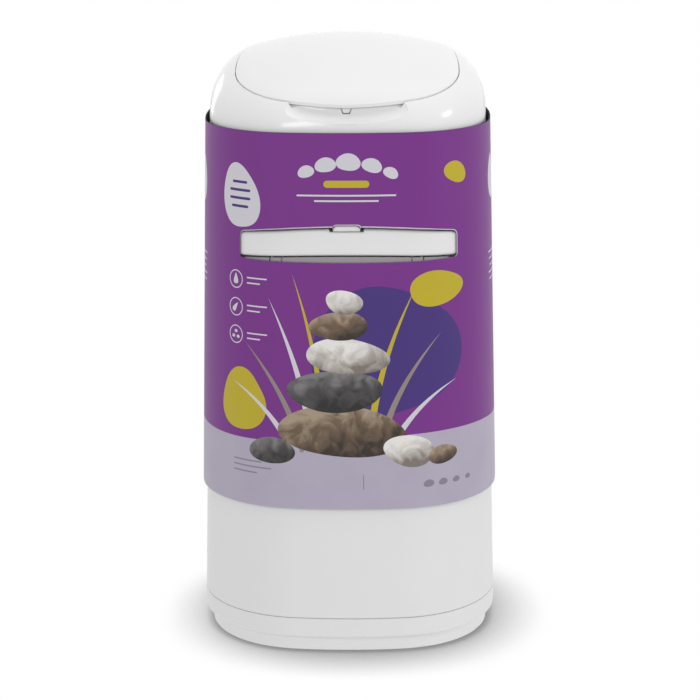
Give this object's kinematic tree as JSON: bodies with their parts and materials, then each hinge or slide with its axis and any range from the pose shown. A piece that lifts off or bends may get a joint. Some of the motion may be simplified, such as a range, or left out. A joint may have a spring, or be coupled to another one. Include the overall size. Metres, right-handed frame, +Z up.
{
  "type": "litter disposal pail",
  "caption": "Upright lidded pail for used cat litter, with a tilting head, a pull handle that opens a film clamp, a film cartridge and a slip-on printed card sleeve.",
  "frame": {"origin": "middle of the base on the floor, under the middle of the tub's plan", "axes": "+Z up, front with the pull handle towards -Y, +X to the right seen from the front"},
  "size_m": [0.2316, 0.22, 0.4582],
  "materials": {
    "white_gloss": "smooth moulded white polypropylene",
    "grey_inner": "fine satin moulding",
    "cartridge_plastic": "thin satin moulding",
    "bag_film": "pleated polyethylene film",
    "seal_rubber": "matt",
    "screw_steel": "zinc plated",
    "pin_steel": "drawn wire",
    "blade_steel": "ground",
    "printed_card": "coated and printed outside, black inside"
  },
  "bodies": {
    "tub": {"outer_body": "white_gloss", "base_pan": "white_gloss", "base_screws": "screw_steel", "finger_well": "grey_inner", "cartridge_deck": "grey_inner", "deck_screws": "screw_steel", "slide_rail_left": "grey_inner", "slide_rail_right": "grey_inner", "rail_screws": "screw_steel", "rear_jaw": "grey_inner", "jaw_screws": "screw_steel", "rear_jaw_seal": "seal_rubber", "film_cartridge": "cartridge_plastic", "film_pack": "bag_film", "cartridge_cover": "cartridge_plastic", "film_cutter": "grey_inner", "cutter_blade": "blade_steel", "latch_guide": "grey_inner", "guide_screws": "screw_steel", "release_spring": "pin_steel", "head_hinge_pin": "pin_steel"},
    "drawer": {"pull_handle": "white_gloss", "drawer_plate": "grey_inner", "front_jaw_seal": "seal_rubber", "handle_screws": "screw_steel"},
    "latch": {"release_latch": "white_gloss"},
    "head": {"head_shell": "white_gloss", "throat_funnel": "grey_inner", "funnel_screws": "screw_steel", "throat_gasket": "seal_rubber", "lid_hinge_pin": "pin_steel"},
    "lid": {"lid_shell": "white_gloss", "lid_liner": "grey_inner", "lid_gasket": "seal_rubber"},
    "sleeve": {"card_sleeve": "printed_card"}
  },
  "joints": [
    {"name": "handle_pull", "type": "slide", "parent": "tub", "child": "drawer", "axis": [0, -1, 0], "range_m": [0, 0.066]},
    {"name": "release_press", "type": "slide", "parent": "tub", "child": "latch", "axis": [0, 1, 0], "range_m": [0, 0.0025], "stiffness_N_per_m": 400, "springref_m": -0.003, "deforming": ["release_spring"]},
    {"name": "head_tilt", "type": "hinge", "parent": "tub", "child": "head", "pos_m": [0, 0.0972, 0.407], "axis": [-1, 0, 0], "range_deg": [0, 90]},
    {"name": "lid_open", "type": "hinge", "parent": "head", "child": "lid", "pos_m": [0, 0.064, 0.4473], "axis": [-1, 0, 0], "range_deg": [0, 95]},
    {"name": "sleeve_lift", "type": "slide", "parent": "tub", "child": "sleeve", "axis": [0, 0, 1], "range_m": [0, 0.52]}
  ]
}
